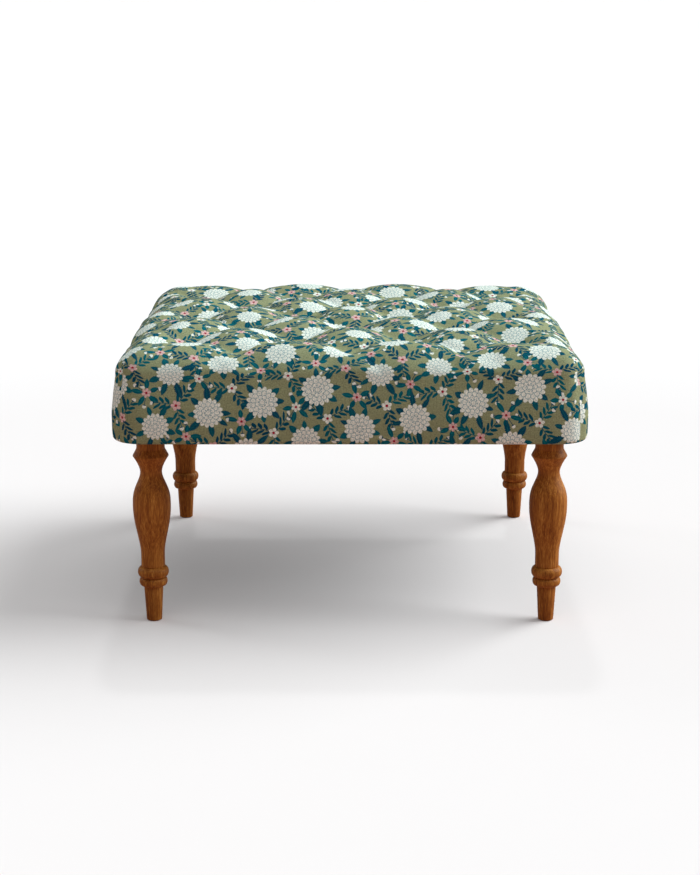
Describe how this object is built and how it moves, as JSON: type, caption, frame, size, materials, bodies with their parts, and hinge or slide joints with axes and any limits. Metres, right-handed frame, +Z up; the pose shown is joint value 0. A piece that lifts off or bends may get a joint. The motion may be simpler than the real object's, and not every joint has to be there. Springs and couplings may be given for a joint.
{
  "type": "ottoman",
  "caption": "Square upholstered ottoman with a deep diamond-tufted top in floral cloth, on slim turned wooden legs.",
  "frame": {"origin": "on the floor under the middle of the seat, which is the bottom centre of the bounding box", "axes": "+Z up, -Y towards the front, +X to the right seen from the front"},
  "size_m": [0.611, 0.611, 0.377],
  "materials": {
    "leg_wood": "mid-brown stained hardwood with fine upright grain, satin lacquer",
    "frame_wood": "planed pine, unfinished",
    "dowel_wood": "beech dowel, unfinished",
    "plywood": "birch plywood, unfinished",
    "zinc_steel": "zinc-plated steel",
    "glide_nylon": "dark nylon, matt",
    "twine": "waxed tufting twine",
    "foam": "cut upholstery foam",
    "wadding": "polyester fibre wadding",
    "printed_cloth": null,
    "black_lining": "black non-woven lining, matt"
  },
  "bodies": {
    "root": {"leg_front_left": "leg_wood", "leg_front_right": "leg_wood", "leg_rear_left": "leg_wood", "leg_rear_right": "leg_wood", "foot_glides": "glide_nylon", "hanger_bolts": "zinc_steel", "tee_nuts": "zinc_steel", "corner_block_front_left": "frame_wood", "corner_block_front_right": "frame_wood", "corner_block_rear_left": "frame_wood", "corner_block_rear_right": "frame_wood", "rail_front": "frame_wood", "rail_rear": "frame_wood", "rail_left": "frame_wood", "rail_right": "frame_wood", "cross_rail_left": "frame_wood", "cross_rail_right": "frame_wood", "frame_dowels": "dowel_wood", "block_screws": "zinc_steel", "seat_deck": "plywood", "deck_screws": "zinc_steel", "tuft_twines": "twine", "tuft_washers": "zinc_steel", "seat_foam": "foam", "seat_wadding": "wadding", "seat_cover": "printed_cloth", "dust_cover": "black_lining"}
  },
  "joints": []
}
